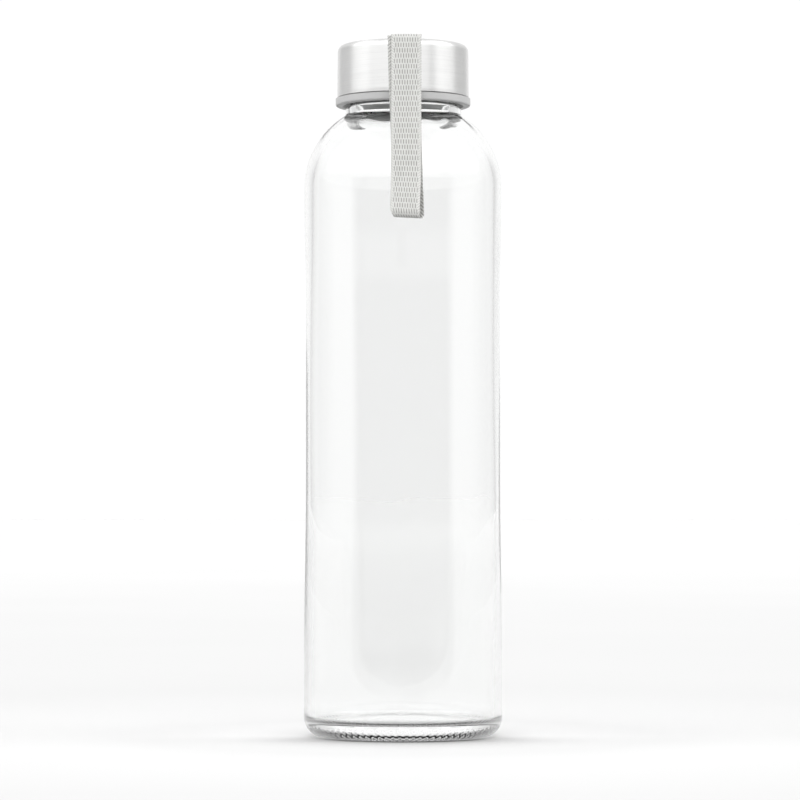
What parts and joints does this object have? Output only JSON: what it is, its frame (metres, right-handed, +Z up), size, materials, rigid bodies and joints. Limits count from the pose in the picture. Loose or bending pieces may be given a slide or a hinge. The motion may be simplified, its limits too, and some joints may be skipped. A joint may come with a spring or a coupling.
{
  "type": "glass water bottle",
  "caption": "Clear glass water bottle with a soft shoulder, a brushed steel screw lid on a grey plastic liner, and a webbing carry loop over the lid.",
  "frame": {"origin": "middle of the bottle's base, on the surface it stands on", "axes": "+Z up along the bottle's axis, -Y towards the front, where the carry loop hangs, +X to the viewer's right"},
  "size_m": [0.065, 0.0718, 0.228],
  "materials": {
    "glass": "clear polished glass",
    "steel": "fine horizontal brushing",
    "grey_plastic": "fine satin moulding",
    "silicone": "translucent white silicone",
    "webbing": "woven polyester tape",
    "thread": "polyester sewing thread"
  },
  "bodies": {
    "bottle": {"glass_bottle": "glass"},
    "seal": {"seal_gasket": "silicone"},
    "lid": {"lid_shell": "steel", "lid_liner": "grey_plastic", "strap_tail": "webbing", "strap_stitching": "thread"},
    "strap": {"strap_loop": "webbing"}
  },
  "joints": [
    {"name": "lid_lift", "type": "slide", "parent": "bottle", "child": "seal", "axis": [0, 0, 1], "range_m": [0, 0.02117]},
    {"name": "lid_turn", "type": "hinge", "parent": "seal", "child": "lid", "pos_m": [0, 0, 0.2232], "axis": [0, 0, 1], "range_deg": [0, 1800]},
    {"name": "strap_swing", "type": "hinge", "parent": "lid", "child": "strap", "pos_m": [0, 0.0223, 0.2088], "axis": [-1, 0, 0], "range_deg": [0, 110]}
  ],
  "couplings": [
    {"joint": "lid_lift", "follows": "lid_turn", "m_per_rad": 0.00067375}
  ]
}
